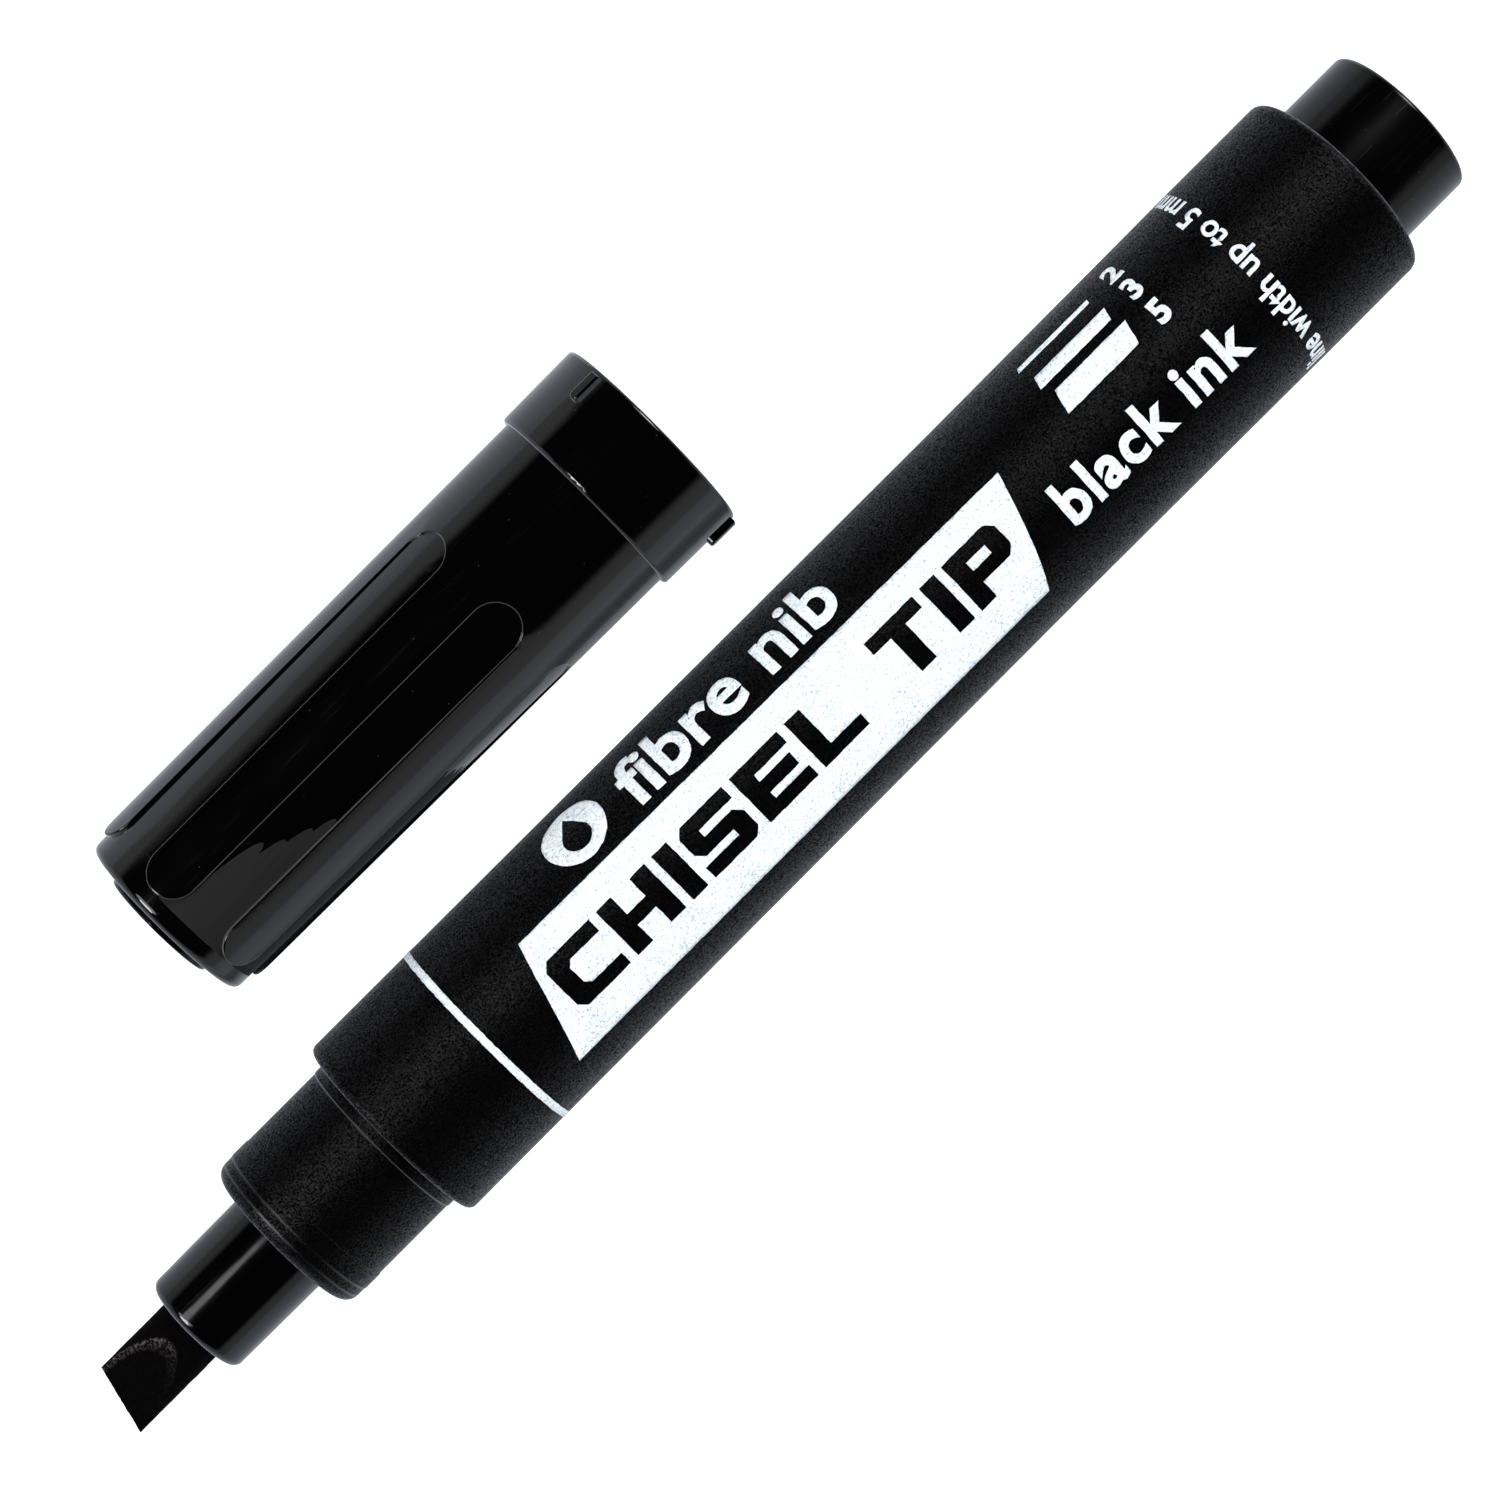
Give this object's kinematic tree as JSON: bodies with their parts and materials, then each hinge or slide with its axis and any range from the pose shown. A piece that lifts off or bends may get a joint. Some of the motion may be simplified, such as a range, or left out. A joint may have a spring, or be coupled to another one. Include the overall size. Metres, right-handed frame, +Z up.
{
  "type": "felt tip marker",
  "caption": "Felt marker with a slanted chisel nib, and its fluted push-on cap lying beside it.",
  "frame": {"origin": "middle of the footprint, on the surface that the marker and its cap lie on", "axes": "+X along the marker toward its tail, with the nib at -X; +Y across, from the marker toward its cap; +Z up"},
  "size_m": [0.1154, 0.034, 0.0147],
  "materials": {
    "barrel_plastic": "fine spark-eroded matte",
    "holder_plastic": "polished",
    "nib_fibre": "ink-soaked bonded fibre",
    "ink_fibre": "ink-soaked bonded fibre",
    "reservoir_film": "thin clear-white film",
    "plug_plastic": "semi-gloss",
    "cap_plastic": "polished",
    "seal_plastic": "polished",
    "print_ink": "screen-printed white ink"
  },
  "bodies": {
    "barrel": {"barrel": "barrel_plastic", "nib_holder": "holder_plastic", "nib": "nib_fibre", "reservoir_core": "ink_fibre", "reservoir_wrap": "reservoir_film", "tail_plug": "plug_plastic"},
    "cap": {"cap_shell": "cap_plastic", "cap_inner": "seal_plastic"}
  },
  "joints": [
    {"name": "cap_slide", "type": "slide", "parent": "barrel", "child": "cap", "axis": [-1, 0, 0], "range_m": [0, 0.069]}
  ]
}
